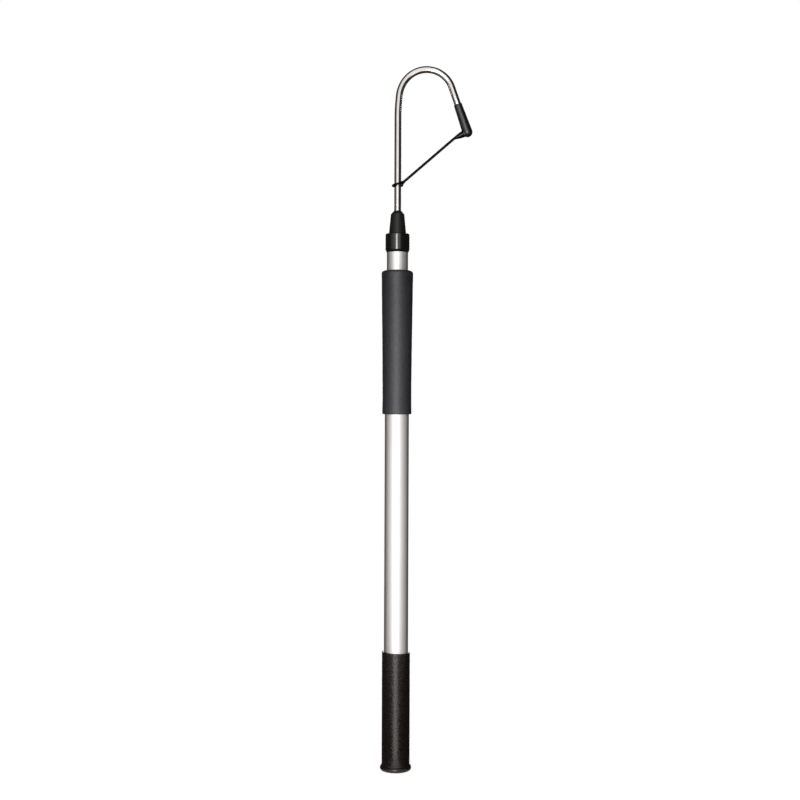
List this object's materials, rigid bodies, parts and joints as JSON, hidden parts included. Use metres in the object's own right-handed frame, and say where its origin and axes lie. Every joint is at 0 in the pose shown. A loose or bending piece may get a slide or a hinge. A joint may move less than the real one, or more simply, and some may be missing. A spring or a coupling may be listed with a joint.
{
  "type": "telescopic landing gaff",
  "caption": "Collapsible landing gaff: a bent steel hook with a tethered point guard on a twist-lock telescopic aluminium pole with a foam fore grip and a rubber butt grip.",
  "frame": {"origin": "centre of the flat end of the butt grip", "axes": "+Z along the tubes towards the hook, +X from the shank towards the hook's point, pole collapsed"},
  "size_m": [0.0937, 0.0326, 0.7293],
  "materials": {
    "stainless_steel": "polished",
    "soft_pvc": "satin",
    "matte_black_plastic": "matte",
    "gloss_black_plastic": "gloss",
    "plated_steel": "satin",
    "anodised_aluminium": "satin",
    "natural_nylon": "satin",
    "black_foam": "matte",
    "black_rubber": "matte"
  },
  "bodies": {
    "handle": {"outer_tube": "anodised_aluminium", "mouth_cap": "matte_black_plastic", "fore_grip": "black_foam", "butt_grip": "black_rubber", "butt_plug": "matte_black_plastic"},
    "cam": {"lock_cam": "natural_nylon"},
    "hook_arm": {"inner_tube": "anodised_aluminium", "lock_plug": "natural_nylon", "lock_plug_pin": "plated_steel", "cam_washer": "plated_steel", "cam_screw": "plated_steel", "hook_socket": "matte_black_plastic", "socket_collar": "gloss_black_plastic", "socket_pin": "plated_steel", "hook": "stainless_steel"},
    "guard": {"point_guard": "soft_pvc", "guard_tether": "soft_pvc"},
    "ring": {"tether_ring": "soft_pvc"}
  },
  "joints": [
    {"name": "tube_extend", "type": "slide", "parent": "handle", "child": "cam", "axis": [0, 0, 1], "range_m": [0, 0.404]},
    {"name": "tube_twist", "type": "hinge", "parent": "cam", "child": "hook_arm", "pos_m": [0.00035, 0, 0.029], "axis": [0, 0, 1], "range_deg": [-30, 30]},
    {"name": "guard_pull", "type": "slide", "parent": "hook_arm", "child": "guard", "axis": [0.3322, 0, -0.9432], "range_m": [0, 0.032], "deforming": ["guard_tether"]},
    {"name": "ring_slide", "type": "slide", "parent": "guard", "child": "ring", "axis": [-0.5547, 0, 0.832], "range_m": [0, 0.0193]}
  ],
  "couplings": [
    {"joint": "ring_slide", "follows": "guard_pull", "ratio": 0.5988}
  ]
}
